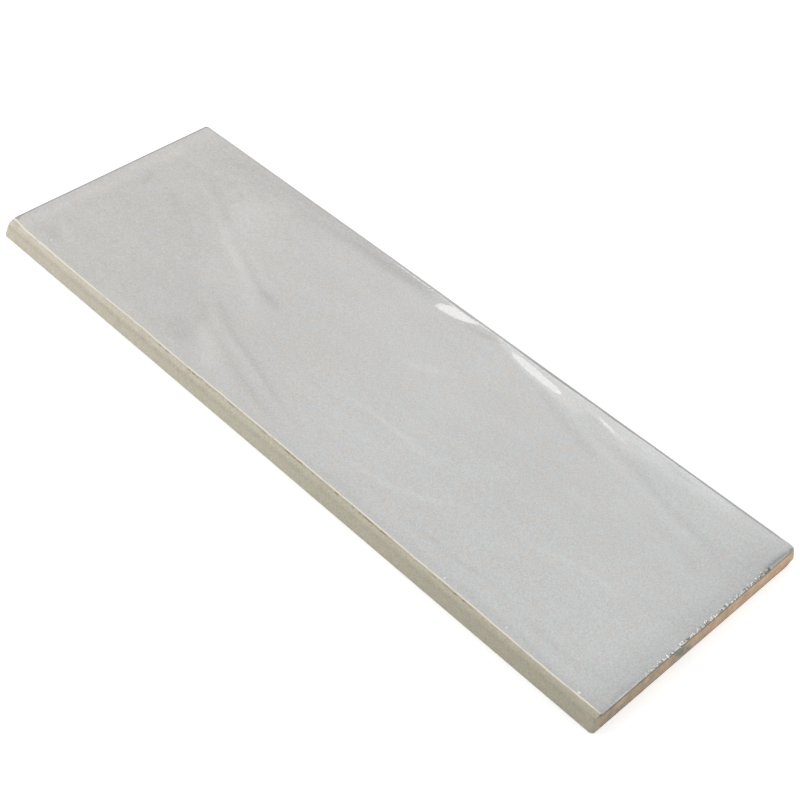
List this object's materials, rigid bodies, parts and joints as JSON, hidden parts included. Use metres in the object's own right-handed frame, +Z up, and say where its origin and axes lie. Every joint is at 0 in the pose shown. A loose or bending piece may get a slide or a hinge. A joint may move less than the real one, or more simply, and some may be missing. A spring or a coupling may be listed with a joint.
{
  "type": "bullnose tile",
  "caption": "Long rectangular glazed wall tile with a rounded bullnose along one long side, soft cushioned edges, one plain end and a keyed back for bedding in adhesive.",
  "frame": {"origin": "centre of the back, on the plane of the bedding lands", "axes": "+X along the tile towards the plain end, +Y across it away from the bullnose, +Z up out of the glazed face"},
  "size_m": [0.3, 0.1, 0.008],
  "materials": {
    "glazed_tile": "glossy light grey glaze over a tan fired body"
  },
  "bodies": {
    "root": {"bullnose_tile": "glazed_tile"}
  },
  "joints": []
}
